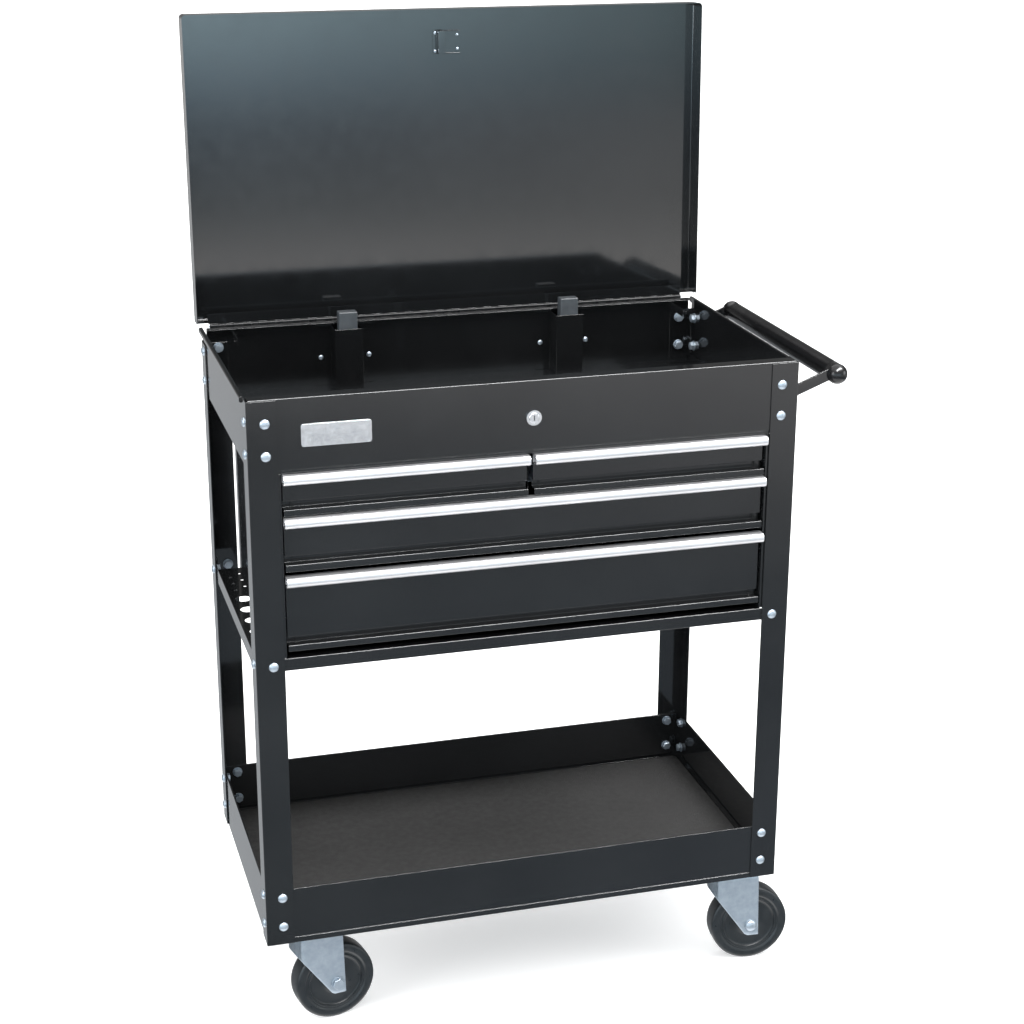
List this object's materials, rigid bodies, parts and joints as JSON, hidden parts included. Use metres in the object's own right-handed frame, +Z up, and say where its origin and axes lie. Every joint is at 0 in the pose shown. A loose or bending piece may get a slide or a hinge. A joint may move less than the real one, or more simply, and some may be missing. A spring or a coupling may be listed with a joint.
{
  "type": "tool cart",
  "caption": "Sheet-steel tool cart: top box with hinged lid, drawer cabinet, open lower tray, side push handle, tool rack and swivel casters.",
  "frame": {"origin": "on the floor, under the middle of the cart's bounding box with the lid open", "axes": "+Z up, -Y out of the drawer fronts, +X towards the push handle"},
  "size_m": [0.8852, 0.4918, 1.4622],
  "materials": {
    "black_paint": "gloss",
    "satin_aluminium": "satin",
    "zinc_steel": "bright zinc plate",
    "chrome_plate": "polished",
    "grey_polymer": "moulded satin",
    "plunger_plastic": "moulded satin",
    "mat_rubber": "matte",
    "black_plastic": "satin"
  },
  "bodies": {
    "cart": {"back_panel": "black_paint", "badge_plate": "chrome_plate", "box_floor": "black_paint", "cabinet_back": "black_paint", "cabinet_bottom": "black_paint", "cabinet_side_left": "black_paint", "cabinet_side_right": "black_paint", "caster_plates": "zinc_steel", "channel_rivets": "zinc_steel", "corner_braces": "black_paint", "dome_bolts": "zinc_steel", "drawer_divider": "black_paint", "handle_brackets": "black_paint", "handle_caps": "black_plastic", "handle_tube": "black_paint", "header_panel": "black_paint", "hex_nuts": "zinc_steel", "hinge_leaf_body": "black_paint", "hinge_pin": "zinc_steel", "lock_channels": "black_paint", "lock_housing": "chrome_plate", "lower_tray": "black_paint", "post_back_left": "black_paint", "post_back_right": "black_paint", "post_front_left": "black_paint", "post_front_right": "black_paint", "side_panel_left": "black_paint", "side_panel_right": "black_paint", "slide_outer_members": "zinc_steel", "tool_rack": "black_paint", "tray_mat": "mat_rubber"},
    "lid": {"lid_panel": "black_paint", "lid_hinge_leaf": "black_paint", "lid_catch": "black_paint"},
    "drawer_top_left": {"drawer_top_left": "black_paint", "pull_top_left": "satin_aluminium", "slide_inner_top_left": "zinc_steel"},
    "drawer_top_right": {"drawer_top_right": "black_paint", "pull_top_right": "satin_aluminium", "slide_inner_top_right": "zinc_steel"},
    "drawer_middle": {"drawer_middle": "black_paint", "pull_middle": "satin_aluminium", "slide_inner_middle": "zinc_steel"},
    "drawer_deep": {"drawer_deep": "black_paint", "pull_deep": "satin_aluminium", "slide_inner_deep": "zinc_steel"},
    "plunger_left": {"plunger_left": "plunger_plastic", "lock_bar_left": "zinc_steel"},
    "plunger_right": {"plunger_right": "plunger_plastic", "lock_bar_right": "zinc_steel"},
    "lock": {"lock_plug": "chrome_plate", "lock_cam": "zinc_steel"},
    "swivel_front_left": {"fork_front_left": "zinc_steel"},
    "wheel_front_left": {"wheel_front_left": "grey_polymer"},
    "swivel_front_right": {"fork_front_right": "zinc_steel"},
    "wheel_front_right": {"wheel_front_right": "grey_polymer"},
    "swivel_back_left": {"fork_back_left": "zinc_steel"},
    "wheel_back_left": {"wheel_back_left": "grey_polymer"},
    "swivel_back_right": {"fork_back_right": "zinc_steel"},
    "wheel_back_right": {"wheel_back_right": "grey_polymer"}
  },
  "joints": [
    {"name": "lid_hinge", "type": "hinge", "parent": "cart", "child": "lid", "pos_m": [-0.0374, 0.2017, 0.998], "axis": [1, 0, 0], "range_deg": [0, 91.8]},
    {"name": "drawer_slide_top_left", "type": "slide", "parent": "cart", "child": "drawer_top_left", "axis": [0, -1, 0], "range_m": [0, 0.3]},
    {"name": "drawer_slide_top_right", "type": "slide", "parent": "cart", "child": "drawer_top_right", "axis": [0, -1, 0], "range_m": [0, 0.3]},
    {"name": "drawer_slide_middle", "type": "slide", "parent": "cart", "child": "drawer_middle", "axis": [0, -1, 0], "range_m": [0, 0.3]},
    {"name": "drawer_slide_deep", "type": "slide", "parent": "cart", "child": "drawer_deep", "axis": [0, -1, 0], "range_m": [0, 0.3]},
    {"name": "plunger_press_left", "type": "slide", "parent": "cart", "child": "plunger_left", "axis": [0, 0, -1], "range_m": [0, 0.018], "stiffness_N_per_m": 700, "springref_m": -0.006},
    {"name": "plunger_press_right", "type": "slide", "parent": "cart", "child": "plunger_right", "axis": [0, 0, -1], "range_m": [0, 0.018], "stiffness_N_per_m": 700, "springref_m": -0.006},
    {"name": "lock_turn", "type": "hinge", "parent": "cart", "child": "lock", "pos_m": [-0.0349, -0.2359, 0.946], "axis": [0, 1, 0], "range_deg": [0, 90]},
    {"name": "swivel_front_left", "type": "hinge", "parent": "cart", "child": "swivel_front_left", "pos_m": [-0.3738, -0.1749, 0.16], "axis": [0, 0, 1], "continuous": true},
    {"name": "roll_front_left", "type": "hinge", "parent": "swivel_front_left", "child": "wheel_front_left", "pos_m": [-0.33017, -0.16721, 0.0625], "axis": [-0.1736, 0.9848, 0], "continuous": true},
    {"name": "swivel_front_right", "type": "hinge", "parent": "cart", "child": "swivel_front_right", "pos_m": [0.299, -0.1749, 0.16], "axis": [0, 0, 1], "continuous": true},
    {"name": "roll_front_right", "type": "hinge", "parent": "swivel_front_right", "child": "wheel_front_right", "pos_m": [0.34318, -0.17814, 0.0625], "axis": [0.0732, 0.9973, 0], "continuous": true},
    {"name": "swivel_back_left", "type": "hinge", "parent": "cart", "child": "swivel_back_left", "pos_m": [-0.3738, 0.1371, 0.16], "axis": [0, 0, 1], "continuous": true},
    {"name": "roll_back_left", "type": "hinge", "parent": "swivel_back_left", "child": "wheel_back_left", "pos_m": [-0.32974, 0.14173, 0.0625], "axis": [-0.1045, 0.9945, 0], "continuous": true},
    {"name": "swivel_back_right", "type": "hinge", "parent": "cart", "child": "swivel_back_right", "pos_m": [0.299, 0.1371, 0.16], "axis": [0, 0, 1], "continuous": true},
    {"name": "roll_back_right", "type": "hinge", "parent": "swivel_back_right", "child": "wheel_back_right", "pos_m": [0.34287, 0.13093, 0.0625], "axis": [0.1392, 0.9903, 0], "continuous": true}
  ]
}
